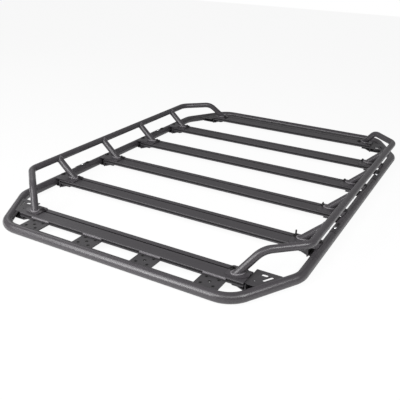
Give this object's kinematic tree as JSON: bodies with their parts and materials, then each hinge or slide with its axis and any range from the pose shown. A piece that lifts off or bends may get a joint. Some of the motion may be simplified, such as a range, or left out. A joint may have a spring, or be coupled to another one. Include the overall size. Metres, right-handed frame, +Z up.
{
  "type": "flat platform roof rack",
  "caption": "Flat slatted platform roof rack in a bent tube ring, with a low raised side rail on leaning posts along each side and slotted end plates",
  "frame": {"origin": "under the middle of the ring, on the plane its tubes and brackets rest on", "axes": "+Z up, +Y along the rack to its front end, +X to its right side"},
  "size_m": [1.286, 1.923, 0.1315],
  "materials": {
    "tube_coat": "satin textured powder coat",
    "deck_coat": "satin textured powder coat",
    "bracket_coat": "satin black"
  },
  "bodies": {
    "root": {"rear_tube": "tube_coat", "front_tube": "tube_coat", "left_tube": "tube_coat", "right_tube": "tube_coat", "rear_left_corner_tube": "tube_coat", "rear_right_corner_tube": "tube_coat", "front_left_corner_tube": "tube_coat", "front_right_corner_tube": "tube_coat", "rear_slat": "deck_coat", "slat_b": "deck_coat", "slat_c": "deck_coat", "slat_d": "deck_coat", "slat_e": "deck_coat", "front_slat": "deck_coat", "rear_end_plate": "deck_coat", "front_end_plate": "deck_coat", "rear_left_corner_plate": "deck_coat", "rear_right_corner_plate": "deck_coat", "front_left_corner_plate": "deck_coat", "front_right_corner_plate": "deck_coat", "left_rail_run": "tube_coat", "right_rail_run": "tube_coat", "left_rail_rear_end": "tube_coat", "left_rail_front_end": "tube_coat", "right_rail_rear_end": "tube_coat", "right_rail_front_end": "tube_coat", "left_post_b": "tube_coat", "left_post_c": "tube_coat", "left_post_d": "tube_coat", "left_post_e": "tube_coat", "right_post_b": "tube_coat", "right_post_c": "tube_coat", "right_post_d": "tube_coat", "right_post_e": "tube_coat", "left_saddles": "bracket_coat", "right_saddles": "bracket_coat", "left_clips": "bracket_coat", "right_clips": "bracket_coat"}
  },
  "joints": []
}
